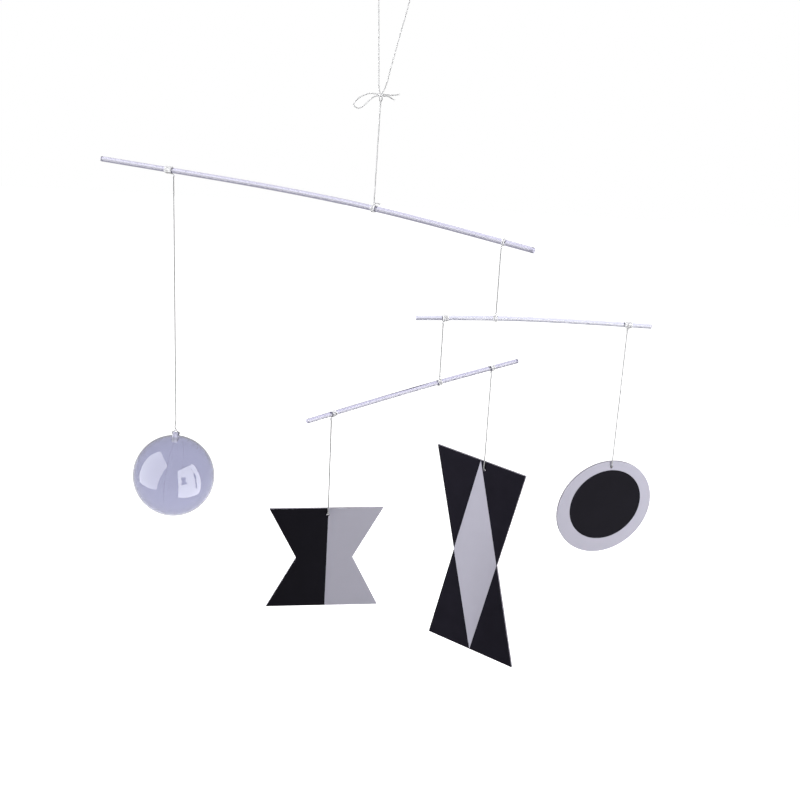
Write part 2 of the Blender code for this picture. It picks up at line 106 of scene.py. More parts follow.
def addBump(nodes, links, height, shader, strength, distance):
    bump = nodes.new("ShaderNodeBump")
    bump.inputs["Strength"].default_value = strength
    bump.inputs["Distance"].default_value = distance
    links.new(height, bump.inputs["Height"])
    links.new(bump.outputs["Normal"], shader.inputs["Normal"])


def addRange(nodes, links, source, low, high, toLow, toHigh):
    span = nodes.new("ShaderNodeMapRange")
    for socket, value in zip(("From Min", "From Max", "To Min", "To Max"), (low, high, toLow, toHigh)):
        span.inputs[socket].default_value = value
    links.new(source, span.inputs["Value"])
    return span.outputs["Result"]


def addMath(nodes, links, operation, first, second=None):
    step = nodes.new("ShaderNodeMath")
    step.operation = operation
    for socket, value in zip(step.inputs, (first, second)):
        if isinstance(value, (int, float)):
            socket.default_value = value
        elif value is not None:
            links.new(value, socket)
    return step.outputs[0]


def addBlend(nodes, links, share, first, second):
    blend = nodes.new("ShaderNodeMix")
    blend.data_type = "RGBA"
    if isinstance(share, (int, float)):
        blend.inputs["Factor"].default_value = share
    else:
        links.new(share, blend.inputs["Factor"])
    for socket, value in ((blend.inputs["A"], first), (blend.inputs["B"], second)):
        if isinstance(value, tuple):
            socket.default_value = (*value, 1)
        else:
            links.new(value, socket)
    return blend.outputs["Result"]


def addMapping(nodes, links, output, scale=(1, 1, 1), place=None, turn=(0, 0, 0)):
    coordinates = nodes.new("ShaderNodeTexCoord")
    mapping = nodes.new("ShaderNodeMapping")
    mapping.inputs["Scale"].default_value = scale
    if place is not None:                   # counts from a card's own middle, along its own edges
        mapping.vector_type = "TEXTURE"
        mapping.inputs["Location"].default_value = place
        mapping.inputs["Rotation"].default_value = turn
    links.new(coordinates.outputs[output], mapping.inputs["Vector"])
    return mapping.outputs["Vector"]


def makeThreadMaterial():
    finish, nodes, links, shader = newMaterial("whiteCottonThread")
    fibres = addNoise(nodes, links, addMapping(nodes, links, "UV", (700, 9, 1)), 1.0)
    along = addNoise(nodes, links, addMapping(nodes, links, "UV", (60, 1, 1)), 1.0)
    patchy = addRange(nodes, links, along, 0.35, 0.65, 0, 1)
    single, paintedLight = tones["thread"], tones["threadPaintedLit"]
    # blends towards the lighter tone by the mesh's painted-light share: painted light on turns, on knots
    # and near the rods
    paintedLightLayer = nodes.new("ShaderNodeAttribute")
    paintedLightLayer.attribute_name = "paintedLight"
    blend = addBlend(nodes, links, paintedLightLayer.outputs["Fac"], single, paintedLight)
    shade = addBlend(nodes, links, paintedLightLayer.outputs["Fac"], tuple(value * 0.86 for value in single),
                     tuple(value * 0.93 for value in paintedLight))
    links.new(addBlend(nodes, links, patchy, shade, blend), shader.inputs["Base Color"])
    links.new(addRange(nodes, links, fibres, 0.3, 0.7, 0.75, 0.95), shader.inputs["Roughness"])
    shader.inputs["Sheen Weight"].default_value = 0.25
    shader.inputs["Sheen Roughness"].default_value = 0.5
    shader.inputs["Specular IOR Level"].default_value = 0.3
    shader.inputs["Subsurface Weight"].default_value = 0.5
    shader.inputs["Subsurface Radius"].default_value = (1, 1, 1)
    shader.inputs["Subsurface Scale"].default_value = 0.0012
    addBump(nodes, links, fibres, shader, 0.5, 0.00008)
    return finish


def makeClearMaterial(name, color, roughness, scale, strength, depth, output="Object", clear=1.0):
    finish, nodes, links, shader = newMaterial(name)
    shader.inputs["Base Color"].default_value = (*color, 1)
    shader.inputs["Roughness"].default_value = roughness
    shader.inputs["IOR"].default_value = 1.49
    shader.inputs["Transmission Weight"].default_value = clear
    flow = addNoise(nodes, links, addMapping(nodes, links, output, scale), 1.0, 2.0)
    addBump(nodes, links, flow, shader, strength, depth)
    return finish


# Studio: pale floor, white surroundings and soft lights, two of them large enough to show in gloss

studio = {
    "floorHeight": -1.25,
    "floorWidth": 6,
    "floorGlow": 1.0,
    "lights": [                              # place, width, height, brightness, what it lights
        ((-1.22, -0.35, -0.05), 1.7, 2.2, 5.1, "gloss"),
        ((0.80, -0.62, -0.50), 1.6, 2.2, 6.9, "gloss"),
        ((-1.20, -0.45, 0.40), 0.9, 0.9, 14.0, "faces"),
        ((1.10, -0.38, -0.20), 0.7, 0.7, 10.4, "faces"),
        ((0.30, 1.35, -0.20), 1.1, 1.1, 2.6, "faces"),
    ],
    "aim": (-0.05, 0.05, -0.48),
    "around": 0.40,                          # the room as gloss mirrors it, at the sides and overhead
    "above": 0.30,
    "skyRise": (0.10, 0.55),                 # where the sides end and overhead starts
    "faces": 0.60,                           # share of it that falls on matt faces
    "through": 0.70,                         # the room as seen through the clear pieces
}


def addStudio():
    scene = bpy.context.scene
    scene.view_settings.view_transform = "Standard"
    bpy.ops.object.select_all(action="DESELECT")
    bpy.ops.mesh.primitive_plane_add(size=studio["floorWidth"], location=(0, 0, studio["floorHeight"]))
    floor = bpy.context.object
    floor.name = "floor"
    finish, nodes, links, shader = newMaterial("paleFloor")
    grain = addNoise(nodes, links, addMapping(nodes, links, "Object"), 9.0)
    pale = tones["floor"]
    links.new(addBlend(nodes, links, grain, tuple(value * 0.98 for value in pale), pale),
              shader.inputs["Base Color"])
    shader.inputs["Roughness"].default_value = 0.9
    shader.inputs["Emission Color"].default_value = (1, 1, 1, 1)
    shader.inputs["Emission Strength"].default_value = studio["floorGlow"]
    floor.data.materials.append(finish)
    floor.visible_glossy = False             # reflections and soft light see the dimmer room instead
    floor.visible_diffuse = False

    for place, width, height, bright, lit in studio["lights"]:
        lamp = bpy.data.lights.new("softLight", "AREA")
        lamp.shape = "RECTANGLE"
        lamp.size = width
        lamp.size_y = height
        lamp.energy = bright * math.pi * width * height
        stand = bpy.data.objects.new("softLight", lamp)
        scene.collection.objects.link(stand)
        stand.location = place
        aim = Vector(studio["aim"]) - Vector(place)
        stand.rotation_euler = aim.to_track_quat("-Z", "Y").to_euler()
        stand.visible_camera = False
        stand.visible_diffuse = lit == "faces"
        stand.visible_glossy = lit == "gloss"
        stand.visible_transmission = False

    world = bpy.data.worlds.new("whiteRoom")
    scene.world = world
    world.use_nodes = True
    nodes, links = world.node_tree.nodes, world.node_tree.links
    back = nodes["Background"]
    coordinates = nodes.new("ShaderNodeTexCoord")
    split = nodes.new("ShaderNodeSeparateXYZ")
    links.new(coordinates.outputs["Generated"], split.inputs[0])
    rise = addRange(nodes, links, split.outputs["Z"], *studio["skyRise"], studio["around"], studio["above"])
    ray = nodes.new("ShaderNodeLightPath")
    dim = addRange(nodes, links, ray.outputs["Is Diffuse Ray"], 0, 1, 1, studio["faces"])
    glow = addMath(nodes, links, "MULTIPLY", rise, dim)
    through = addMath(nodes, links, "MULTIPLY", ray.outputs["Is Transmission Ray"], studio["through"])
    glow = addMath(nodes, links, "MAXIMUM", glow, through)
    links.new(addMath(nodes, links, "MAXIMUM", glow, ray.outputs["Is Camera Ray"]), back.inputs["Strength"])
    back.inputs["Color"].default_value = (1, 1, 1, 1)
    print("studio lit")


# Rods: where each one lies, with the same sizes as the frame

# each rod's tone is painted light: a lilac tint that stands in for the dim room seen through clear plastic,
# lighter or darker per rod for how light falls on it
rods = {                                     # bend is the radius that a rod takes at its hub
    "top_rod": {"diameter": 0.005, "left": 0.301, "right": 0.156, "leftTie": 0.2167, "rightTie": 0.1255,
                "yaw": -28.2, "bend": 1.800, "hub": Vector((-0.0103, 0, -0.216)),
                "tone": (0.485, 0.475, 0.595)},
    "middle_rod": {"diameter": 0.004, "left": 0.069, "right": 0.137, "leftTie": 0.0453,
                   "rightTie": 0.1165, "yaw": 5.1, "bend": 1.150, "hangs": ("top_rod", 0.1255, 0.0702),
                   "tone": (0.57, 0.57, 0.68)},
    "lower_rod": {"diameter": 0.004, "left": 0.140, "right": 0.090, "leftTie": 0.1153,
                  "rightTie": 0.060, "yaw": 38.3, "bend": 2.860,
                  "hangs": ("middle_rod", -0.0453, 0.061), "tone": (0.425, 0.415, 0.54)},
}


def rodPoint(rod, along):
    arm = rod["leftTie"] if along < 0 else rod["rightTie"]
    reach = min(abs(along), arm)
    droop = (reach ** 2 / 2 - reach ** 3 / (6 * arm)) / rod["bend"]
    droop += max(0, abs(along) - arm) * arm / 2 / rod["bend"]
    yaw = math.radians(rod["yaw"])
    return rod["hub"] + Vector((math.cos(yaw) * along, math.sin(yaw) * along, -droop))


def rodHeading(rod, along):
    return (rodPoint(rod, along + 1e-4) - rodPoint(rod, along - 1e-4)).normalized()


def hangRods():
    for rod in rods.values():
        if "hangs" in rod:
            upper, along, drop = rod["hangs"]
            rod["hub"] = rodPoint(rods[upper], along) + down * drop


# Thread: one twisted line from end to end, with its turns on the rods

thread = {
    "diameter": 0.001,
    "gap": 0.0003,
    "twist": 0.0030,                         # length in which the three plies go once round
    "ringStep": 0.00033,
    "routeStep": 0.0008,
    "fullness": 0.56,                        # reach of the plies, of the diameter
    "sides": 12,
    "creaseAngle": math.radians(65),
    "groove": 0.13,                          # depth of the grooves between plies, of the radius
    "turnPitch": 0.0012,
    "turnSteps": 16,
    "leave": math.radians(62),               # angle off the knot's side where thread meets the rod
    "knotWidth": 0.0026,
    "knotHeight": 0.0022,
    "hubKnotWidth": 0.0036,
    "cardKnotWidth": 0.0042,
    "bendRadius": 0.0021,
    "paintedLightReach": (0.0024, 0.0036),         # off a rod: painted light in full up to here, fading to the single tone by there
    # share of painted light on loose ends and cut plies
    "looseEndPaintedLight": 0.35,
}
threadPaintedLightShare = {                               # painted light on each single thread: how far it is lifted towards the lighter tone, to even out how the lamps fall on it
    "bow_thread": 0.44, "hanging_loop_thread": 0.44,
    "main_thread_left_strand": 0.38, "main_thread_right_strand": 0.38,
    "middle_rod_thread": 0.12, "lower_rod_thread": 0.15, "long_card_thread": 0.27,
    "disc_card_thread": 0.38,
}


def smoothLine(points):
    route = [Vector(p) for p in points]
    spans = [(q - p).length for p, q in zip(route, route[1:])]
    slopes = [(q - p) / span for p, q, span in zip(route, route[1:], spans)]
    headings = [slopes[0]]
    for before, after, span, nextSpan in zip(slopes, slopes[1:], spans, spans[1:]):
        headings.append((before * nextSpan + after * span) / (span + nextSpan))
    headings.append(slopes[-1])
    fine = []
    for p, q, u, v, span in zip(route, route[1:], headings, headings[1:], spans):
        count = max(5, int(span / thread["routeStep"]))
        fine += interpolate_bezier(p, p + u * span / 3, q - v * span / 3, q, count)[:-1]
    return fine + [route[-1]]


def lineLength(line):
    return sum((q - p).length for p, q in zip(line, line[1:]))


def evenSteps(line, step):
    total = lineLength(line)
    count = max(2, round(total / step))
    even, walked, goal = [line[0].copy()], 0.0, total / count
    for p, q in zip(line, line[1:]):
        span = (q - p).length
        while span > 0 and walked + span >= goal * (1 - 1e-9) and len(even) < count:
            even.append(p.lerp(q, (goal - walked) / span))
            goal = total * len(even) / count
        walked += span
    return even + [line[-1].copy()]


def rodDistance(point):
    nearest = 1.0
    for rod in rods.values():
        along = (point - rod["hub"]).dot(rodHeading(rod, 0))
        onRod = rodPoint(rod, min(max(along, -rod["left"]), rod["right"]))
        nearest = min(nearest, (point - onRod).length - rod["diameter"] / 2)
    return nearest


def paintedLightShares(name, centres):
    # 1 where thread is wound on a rod and near it: painted light that lifts the shade the rod and the turns
    # cast; elsewhere each thread's own painted share
    pale = threadPaintedLightShare.get(name, 0.0)
    near, far = thread["paintedLightReach"]
    shares = [(far - rodDistance(centre)) / (far - near) for centre in centres]
    return [min(1, max(pale, share)) for share in shares]


def threadMesh(name, centres, radius, taper=0.0, paintedLight=None):
    sides = thread["sides"]
    points, faces, stations = [], [], [0.0]
    heading = (centres[1] - centres[0]).normalized()
    side = heading.orthogonal().normalized()
    for p, q in zip(centres, centres[1:]):
        stations.append(stations[-1] + (q - p).length)
    for i, centre in enumerate(centres):
        heading = (centres[min(i + 1, len(centres) - 1)] - centres[max(i - 1, 0)]).normalized()
        side = (side - heading * side.dot(heading)).normalized()
        other = heading.cross(side)
        spin = 2 * math.pi * stations[i] / thread["twist"]
        slim = 1 - taper * i / (len(centres) - 1)
        for k in range(sides):
            angle = 2 * math.pi * k / sides
            lobe = 1 - thread["groove"] + thread["groove"] * math.cos(3 * (angle - spin))
            reach = radius * lobe * slim
            points.append(centre + side * math.cos(angle) * reach + other * math.sin(angle) * reach)
    last = len(centres) - 1
    for i in range(last):
        for k in range(sides):
            after = (k + 1) % sides
            faces.append((i * sides + k, i * sides + after, (i + 1) * sides + after, (i + 1) * sides + k))
    faces.append(tuple(reversed(range(sides))))
    faces.append(tuple(last * sides + k for k in range(sides)))
    shape = bpy.data.meshes.new(name)
    shape.from_pydata(points, [], faces)
    wrap = shape.uv_layers.new(name="alongThread")
    spots = []
    for i in range(last):
        for k in range(sides):
            spots += [(stations[i], k / sides), (stations[i], (k + 1) / sides),
                      (stations[i + 1], (k + 1) / sides), (stations[i + 1], k / sides)]
    spots += [(stations[0], k / sides) for k in reversed(range(sides))]
    spots += [(stations[-1], k / sides) for k in range(sides)]
    wrap.data.foreach_set("uv", [value for spot in spots for value in spot])
    paintedLightLayer = shape.attributes.new("paintedLight", "FLOAT", "POINT")
    # a piece without shares gets the loose ends' even share of painted light
    shares = paintedLight or [thread["looseEndPaintedLight"]] * len(centres)
    paintedLightLayer.data.foreach_set("value", [share for share in shares for k in range(sides)])
    shape.shade_smooth()
    shape.set_sharp_from_angle(angle=thread["creaseAngle"])
    return shape


def placePiece(name, shape, material, nodes=()):
    piece = bpy.data.objects.new(name, shape)
    bpy.context.scene.collection.objects.link(piece)
    shape.materials.append(material)
    return settlePiece(piece, nodes)


def settlePiece(piece, nodes=()):
    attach(piece, "root")
    if nodes:
        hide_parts(*nodes)
    return piece


def makeThread(name, line, material, nodes, exit):
    centres = evenSteps(line, thread["ringStep"])
    shape = threadMesh(name, centres, thread["fullness"] * thread["diameter"],
                       paintedLight=paintedLightShares(name, centres))
    piece = placePiece(name, shape, material, nodes)
    return piece


# Knots: one tight knot of the same thread, copied to each place at its own size

knotShape = {"ring": 0.62, "lobe": 0.40, "threadRadius": 0.44, "overlap": 0.985,
             "steps": 192, "ringStep": 0.22}     # lengths in millimetres


def knotMesh():
    line = []
    for i in range(knotShape["steps"] + 1):
        turn = 2 * math.pi * knotShape["overlap"] * i / knotShape["steps"]
        reach = (knotShape["ring"] + knotShape["lobe"] * math.cos(3 * turn)) / 1000
        line.append(Vector((reach * math.cos(2 * turn), reach * math.sin(2 * turn),
                            knotShape["lobe"] / 1000 * math.sin(3 * turn))))
    centres = evenSteps(line, knotShape["ringStep"] / 1000)
    # knots carry the full painted light
    return threadMesh("knot", centres, knotShape["threadRadius"] / 1000, paintedLight=[1.0] * len(centres))


def makeKnot(name, model, middle, axis, width, height, material, nodes, spin=0.0):
    shape = model.copy()
    shape.name = name
    wide = 2 * (knotShape["ring"] + knotShape["lobe"] + knotShape["threadRadius"]) / 1000
    high = 2 * (knotShape["lobe"] + knotShape["threadRadius"]) / 1000
    size = Matrix.Diagonal((width / wide, width / wide, height / high, 1))
    turn = Vector((0, 0, 1)).rotation_difference(axis).to_matrix().to_4x4()
    shape.transform(Matrix.Translation(middle) @ turn @ Matrix.Rotation(spin, 4, "Z") @ size)
    return placePiece(name, shape, material, nodes)


# Ties: the thread goes once past the knot, round the rod and back to the knot

ties = {                                     # turns, shift to one side, 1 above or -1 below the rod
    "ball_string": (6, -0.0050, -1),
    "top_hub": (3, 0.0, 1),
    "middle_rod_string": (2, 0.0022, -1),
    "middle_rod_hub": (3, -0.0002, 1),
    "lower_rod_string": (4, 0.0016, -1),
    "lower_rod_hub": (3, 0.0, 1),
    "disc_card_string": (5, 0.0, -1),
    "bow_tie_card_string": (3, 0.0020, -1),
    "long_card_string": (3, 0.0, -1),
}


def tieFoot(name, rod, along):
    side = ties[name][2]
    reach = rod["diameter"] / 2 + thread["diameter"] + 3 * thread["gap"] + thread["knotHeight"]
    return rodPoint(rod, along) + Vector((0, 0, side)) * reach


def tieLine(name, rod, along):
    # From the knot round the rod and back to the knot; the line's last point is in the knot
    turns, shift, side = ties[name]
    heading = rodHeading(rod, along + shift)
    away = Vector((0, 0, side))
    away = (away - heading * away.dot(heading)).normalized()
    across = heading.cross(away)
    wrap = rod["diameter"] / 2 + thread["diameter"] / 2
    bend = thread["bendRadius"]
    leave = thread["leave"]
    ends = []
    for i in range(7):                       # from the knot outwards, on an arc and then a short straight
        angle = leave * i / 6
        ends.append((bend * (1 - math.cos(angle)), -bend * math.sin(angle)))
    foot = ends[-1]
    meet = (wrap * math.sin(leave), wrap * math.cos(leave))
    low = meet[1] + bend * math.sin(leave) + (meet[0] - foot[0]) / math.tan(leave)
    way = [(x, low + z) for x, z in ends]
    count = thread["turnSteps"] * turns
    first, last = leave, 2 * math.pi * turns - leave
    middle = rodPoint(rod, along + shift)
    knotMiddle = rodPoint(rod, along)
    width = turns * thread["turnPitch"]
    line = []
    for i, (x, z) in enumerate(way):
        share = i / len(way)
        share = share * share * (3 - 2 * share)
        axis = knotMiddle.lerp(middle - heading * width / 2, share)
        line.append(axis + across * x + away * z)
    for i in range(count + 1):
        angle = first + (last - first) * i / count
        axis = middle + heading * width * (i / count - 0.5)
        line.append(axis + across * wrap * math.sin(angle) + away * wrap * math.cos(angle))
    for i, (x, z) in enumerate(reversed(way)):
        share = (len(way) - 1 - i) / len(way)
        share = share * share * (3 - 2 * share)
        axis = knotMiddle.lerp(middle + heading * width / 2, share)
        line.append(axis - across * x + away * z)
    return line


def makeTieKnot(name, rod, along, width, model, material, spin):
    side = ties[name][2]
    reach = rod["diameter"] / 2 + thread["diameter"] + 2 * thread["gap"] + thread["knotHeight"] / 2
    middle = rodPoint(rod, along) + Vector((0, 0, side)) * reach
    return makeKnot(name + "_knot_tied", model, middle, Vector((0, 0, 1)), width, thread["knotHeight"],
                    material, [name + "_knot"], spin)


# Bow, hanging loop and the two strands down to the top rod

bow = {
    "knotWidth": 0.0044,
    "knotHeight": 0.0034,
    "merge": 0.0787,                         # share of the way to the hub
    "crown": Vector((0.0084, 0, 0.1143)),    # all points here count from the bow's knot
    "leftLeg": [(-0.0018, 0, 0.006), (-0.0029, 0, 0.025), (-0.0040, 0, 0.050), (-0.0053, 0, 0.080),
                (-0.0057, 0, 0.0963), (-0.0034, 0, 0.1069), (0.0021, 0, 0.1126)],
    "rightLeg": [(0.0151, 0, 0.1126), (0.0209, 0, 0.1069), (0.0233, 0, 0.0978), (0.0200, 0, 0.080),
                 (0.0132, 0, 0.050), (0.0075, 0, 0.025), (0.0029, 0, 0.006)],
    "loop": [(-0.0065, 0.0004, 0.0010), (-0.0105, 0.0010, 0.0006), (-0.0160, 0.0014, -0.0019),
             (-0.0210, 0.0010, -0.0060), (-0.0229, 0, -0.0094), (-0.0198, -0.0012, -0.0120),
             (-0.0155, -0.0014, -0.0106), (-0.0124, -0.0012, -0.0076), (-0.0091, -0.0008, -0.0042),
             (-0.0058, -0.0004, -0.0015)],
    "upperTail": [(0.0055, -0.0004, 0.0007), (0.0085, -0.0008, 0.0006), (0.0113, -0.0010, 0.0008),
                  (0.0142, -0.0008, 0.0013)],
    "lowerTail": [(0.0048, 0.0006, -0.0008), (0.0069, 0.0010, -0.0014), (0.0087, 0.0014, -0.0025),
                  (0.0103, 0.0016, -0.0036)],
    "frayLength": 0.0021,
    "frayShares": (1, 0.8, 0.9),             # each ply's length, of the longest
    "fraySpread": 0.0008,
    "frayRoot": 0.0002,
}
strandSide = (thread["diameter"] + thread["gap"]) / 2


def makeFray(name, end, heading, material):
    # The three plies of a cut end stand a little apart
    heading = heading.normalized()
    side = heading.orthogonal().normalized()
    other = heading.cross(side)
    shapes = []
    for k in range(3):
        angle = 2 * math.pi * k / 3 + 0.4
        outward = side * math.cos(angle) + other * math.sin(angle)
        length = bow["frayLength"] * bow["frayShares"][k]
        line = []
        for i in range(9):
            share = i / 8
            away = bow["frayRoot"] + (bow["fraySpread"] - bow["frayRoot"]) * share ** 2
            line.append(end - heading * thread["diameter"]
                        + heading * (thread["diameter"] + length) * share + outward * away)
        shapes.append(threadMesh(name, evenSteps(line, 0.0003), thread["diameter"] * 0.29, 0.45))
    parts = []
    for shape in shapes:
        part = bpy.data.objects.new(name, shape)
        bpy.context.scene.collection.objects.link(part)
        parts.append(part)
    bpy.ops.object.select_all(action="DESELECT")
    for part in parts:
        part.select_set(True)
    bpy.context.view_layer.objects.active = parts[0]
    bpy.ops.object.join()
    joined = bpy.context.object
    joined.data.materials.append(material)
    return settlePiece(joined)


def makeBow(model, material):
    middle = -bow["crown"]
    knot = makeKnot("bow_knot_tied", model, middle, Vector((1, 0, 0)), bow["knotHeight"],
                    bow["knotWidth"], material, ["bow_knot"], 0.5)
    side = bow["knotWidth"] / 2 + thread["gap"]
    upper, left, right = Vector((0, 0, strandSide)), Vector((-side, 0, 0)), Vector((side, 0, 0))
    route = [Vector(p) for p in reversed(bow["upperTail"])] + [right + upper, upper, left + upper]
    route += [Vector(p) for p in bow["loop"]] + [left - upper, -upper, right - upper]
    route += [Vector(p) for p in bow["lowerTail"]]
    line = smoothLine([middle + p for p in route])
    frays = [makeFray("bow_tail_upper_plies", line[0], line[0] - line[3], material),
             makeFray("bow_tail_lower_plies", line[-1], line[-1] - line[-4], material)]
    makeThread("bow_thread", line, material, ["bow_tail_upper", "bow_loop", "bow_tail_lower"],
               middle)

    shoulder = Vector((bow["knotWidth"] / 4, 0, bow["knotHeight"] / 2 + thread["gap"]))
    inside = Vector((0.0004, 0, 0.0004))
    start = Vector((-shoulder.x, 0, shoulder.z))
    legs = [Vector((-inside.x, 0, inside.z)), start] + [Vector(p) for p in bow["leftLeg"]]
    legs += [bow["crown"]] + [Vector(p) for p in bow["rightLeg"]]
    legs += [shoulder, inside]
    makeThread("hanging_loop_thread", smoothLine([middle + p for p in legs]), material,
               ["hanging_loop"], middle + start)
    return middle


mainTail = {"length": 0.0050, "rise": 0.0003}


def makeMainThread(model, material):
    middle = -bow["crown"]
    rod = rods["top_rod"]
    landing = tieFoot("top_hub", rod, 0)
    knot = makeTieKnot("top_hub", rod, 0, thread["hubKnotWidth"], model, material, 0.9)
    foot = -bow["knotHeight"] / 2 - thread["gap"]
    strands = {}
    for name, side in (("left", -1), ("right", 1)):
        start = middle + Vector((side * bow["knotWidth"] / 4, side * strandSide * 0.8, foot))
        inside = middle + Vector((side * 0.0005, 0, -0.0004))
        beside = Vector((0, side * strandSide, 0))
        joined = middle.lerp(landing, bow["merge"]) + beside
        end = landing + beside
        strands[name] = [inside, start, joined, joined.lerp(end, 0.1), joined.lerp(end, 0.93), end]
    turns = list(reversed(tieLine("top_hub", rod, 0)))
    line = smoothLine(strands["left"][:-1]) + turns
    makeThread("main_thread_left_strand", line, material, ["main_thread_left", "top_hub_winding"],
               strands["left"][0])

    across = rodHeading(rod, 0)
    root = landing + down * (thread["gap"] + thread["knotHeight"] / 2)
    root += across * (thread["hubKnotWidth"] / 2 - 0.0006)
    tip = root + across * mainTail["length"]
    halfway = root + across * mainTail["length"] * 0.44 + Vector((0, 0, mainTail["rise"]))
    tailLine = smoothLine([root, halfway, tip])
    tailShape = threadMesh("main_thread_tail_end", evenSteps(tailLine, thread["ringStep"]),
                           thread["diameter"] / 2)
    tail = placePiece("main_thread_tail_end", tailShape, material, ["main_thread_tail"])
    line = smoothLine(strands["right"] + [landing + down * (thread["gap"] + thread["knotHeight"] / 2)])
    makeThread("main_thread_right_strand", line, material, ["main_thread_right"],
               strands["right"][0])


def makeRodString(name, model, material, spin):
    rod = rods[name]
    upperName, along, drop = rod["hangs"]
    upperRod = rods[upperName]
    top, hub = name + "_string", name + "_hub"
    knots = [makeTieKnot(top, upperRod, along, thread["knotWidth"], model, material, spin),
             makeTieKnot(hub, rod, 0, thread["knotWidth"], model, material, spin + 1)]
    start, end = tieLine(top, upperRod, along), list(reversed(tieLine(hub, rod, 0)))
    straight = [start[-1].lerp(end[0], i / 18) for i in range(1, 18)]
    makeThread(name + "_thread", start + straight + end, material,
               [top, top + "_winding", hub + "_winding"],
               tieFoot(top, upperRod, along))


# Rods of clear plastic, sawn to length

rodFinish = {"sides": 48, "cuts": 96, "chamfer": 0.00025}


def straightRod(name, rod):
    length = rod["left"] + rod["right"]
    bpy.ops.object.select_all(action="DESELECT")
    bpy.ops.mesh.primitive_cylinder_add(
        vertices=rodFinish["sides"], radius=rod["diameter"] / 2, depth=length, end_fill_type="NGON",
        location=((rod["right"] - rod["left"]) / 2, 0, 0), rotation=(0, math.pi / 2, 0))
    piece = bpy.context.object
    piece.name = name
    bpy.ops.object.transform_apply(location=True, rotation=True, scale=True)
    shape = piece.data
    bpy.ops.object.mode_set(mode="EDIT")
    bpy.ops.mesh.select_all(action="DESELECT")
    bpy.ops.mesh.select_mode(type="EDGE")
    bpy.ops.object.mode_set(mode="OBJECT")
    for edge in shape.edges:
        a, b = (shape.vertices[v].co for v in edge.vertices)
        edge.select = abs(a.x - b.x) > length / 2
    bpy.ops.object.mode_set(mode="EDIT")
    bpy.ops.mesh.subdivide(number_cuts=rodFinish["cuts"])
    bpy.ops.mesh.select_all(action="DESELECT")
    bpy.ops.object.mode_set(mode="OBJECT")
    for edge in shape.edges:
        a, b = (shape.vertices[v].co for v in edge.vertices)
        edge.select = abs(a.x - b.x) < 1e-6 and (a.x < 1e-5 - rod["left"] or a.x > rod["right"] - 1e-5)
    bpy.ops.object.mode_set(mode="EDIT")
    bpy.ops.mesh.bevel(offset=rodFinish["chamfer"], segments=2, affect="EDGES")
    bpy.ops.object.mode_set(mode="OBJECT")
    return piece


def makeRod(name, material, endMaterial):
    rod = rods[name]
    piece = straightRod(name + "_clear", rod)
    shape = piece.data
    shape.materials.append(material)
    shape.materials.append(endMaterial)
    for face in shape.polygons:
        face.material_index = int(abs(face.normal.x) > 0.3)
    wrap = shape.uv_layers.active or shape.uv_layers.new(name="alongRod")
    for face in shape.polygons:
        middle = math.atan2(face.center.z, face.center.y)
        for loop in face.loop_indices:
            spot = shape.vertices[shape.loops[loop].vertex_index].co
            angle = math.atan2(spot.z, spot.y)
            angle += 2 * math.pi * round((middle - angle) / (2 * math.pi))
            wrap.data[loop].uv = (spot.x, angle * rod["diameter"] / 2)
    for point in shape.vertices:
        heading = rodHeading(rod, point.co.x)
        up = Vector((0, 0, 1))
        up = (up - heading * up.dot(heading)).normalized()
        across = up.cross(heading)
        point.co = rodPoint(rod, point.co.x) + across * point.co.y + up * point.co.z
    shape.update()
    bpy.ops.object.shade_smooth_by_angle(angle=math.radians(35))
    settlePiece(piece, [name])
    print("rod", name, len(shape.polygons))
    return piece


# Ball of two clear half shells, which meet at a seam and share an eyelet tab

ball = {
    "radius": 0.0411,
    "wall": 0.0012,
    "drop": 0.3229,
    "seamYaw": math.radians(-6.0),
    "lean": math.radians(3.1),               # turns ball and tab about Y, below a plumb string
    "gap": 0.00006,
    "tabWidth": 0.012,
    "tabHead": 0.0045,
    "tabHeight": 0.008,
    "tabThick": 0.0027,
    "eyelet": 0.0034,
    "eyeletDepth": 0.0031,
    "sides": 128,
    "rings": 64,
    "loopRadius": 0.0037,
    "loopDepth": 0.0037,
    "loopRise": 0.0018,
    "knotWidth": 0.0036,
}


def ringRadius(radius, along):
    return math.sqrt(radius ** 2 - along ** 2)


def selectRing(shape, along):
    bpy.ops.mesh.select_mode(type="EDGE")
    bpy.ops.mesh.select_all(action="DESELECT")
    bpy.ops.object.mode_set(mode="OBJECT")
    for edge in shape.edges:
        edge.select = all(abs(shape.vertices[v].co.x - along) < 1e-6 for v in edge.vertices)
    bpy.ops.object.mode_set(mode="EDIT")


def addSkin(radius, rim, side):
    bpy.ops.object.select_all(action="DESELECT")
    bpy.ops.mesh.primitive_uv_sphere_add(segments=ball["sides"], ring_count=ball["rings"], radius=radius,
                                         rotation=(0, math.pi / 2, 0))
    piece = bpy.context.object
    bpy.ops.object.transform_apply(location=True, rotation=True, scale=True)
    bpy.ops.object.mode_set(mode="EDIT")
    bpy.ops.mesh.select_all(action="SELECT")
    bpy.ops.mesh.bisect(plane_co=(rim, 0, 0), plane_no=(side, 0, 0), clear_inner=True,
                        threshold=1e-7)
    bpy.ops.object.mode_set(mode="OBJECT")
    return piece


def stepRing(factor, shift):
    bpy.ops.mesh.extrude_region_move(TRANSFORM_OT_translate={"value": (shift, 0, 0)})
    bpy.ops.transform.resize(value=(1, factor, factor), center_override=(0, 0, 0))


